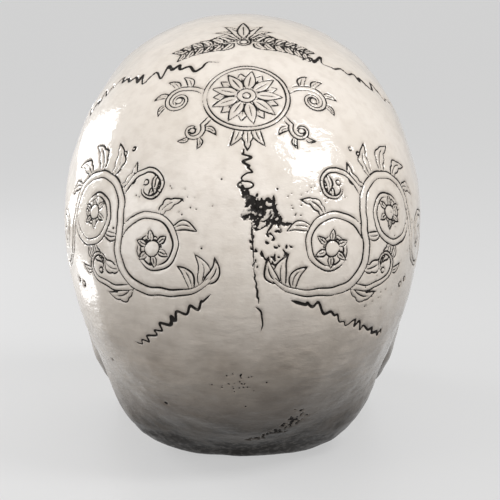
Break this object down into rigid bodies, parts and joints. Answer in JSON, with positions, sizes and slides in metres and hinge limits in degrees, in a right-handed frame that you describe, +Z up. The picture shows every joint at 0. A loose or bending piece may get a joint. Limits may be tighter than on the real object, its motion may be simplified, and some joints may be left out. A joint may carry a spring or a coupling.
{
  "type": "skull decoration",
  "caption": "Life-size hollow cast skull with a full tooth row and a separate lower jaw that swings on two pivot screws and is pulled shut by coil springs.",
  "frame": {"origin": "middle of the overall box, on the table that the skull rests on", "axes": "+Z up from the table, -Y to the side that the face looks to, +X to the skull's left; the skull is tipped back so that the face also looks up"},
  "size_m": [0.138, 0.2428, 0.1624],
  "materials": {
    "bone": "glossy lacquered resin, warm white, with dark wash in the engraving and sutures",
    "teeth": "glossy ivory resin",
    "steel": "bright zinc-plated steel"
  },
  "bodies": {
    "skull": {"cranium": "bone", "upper_teeth": "teeth", "hinge_screw_left": "steel", "hinge_washer_left": "steel", "jaw_spring_left": "steel", "upper_spring_eye_left": "steel", "hinge_screw_right": "steel", "hinge_washer_right": "steel", "jaw_spring_right": "steel", "upper_spring_eye_right": "steel"},
    "jaw": {"mandible": "bone", "lower_teeth": "teeth", "lower_spring_eye_left": "steel", "lower_spring_eye_right": "steel"}
  },
  "joints": [
    {"name": "jaw_hinge", "type": "hinge", "parent": "skull", "child": "jaw", "pos_m": [0, 0.00019, 0.05159], "axis": [1, 0, 0], "range_deg": [0, 18], "stiffness_Nm_per_rad": 0.3, "springref_deg": -20.05, "deforming": ["jaw_spring_left", "jaw_spring_right"]}
  ]
}
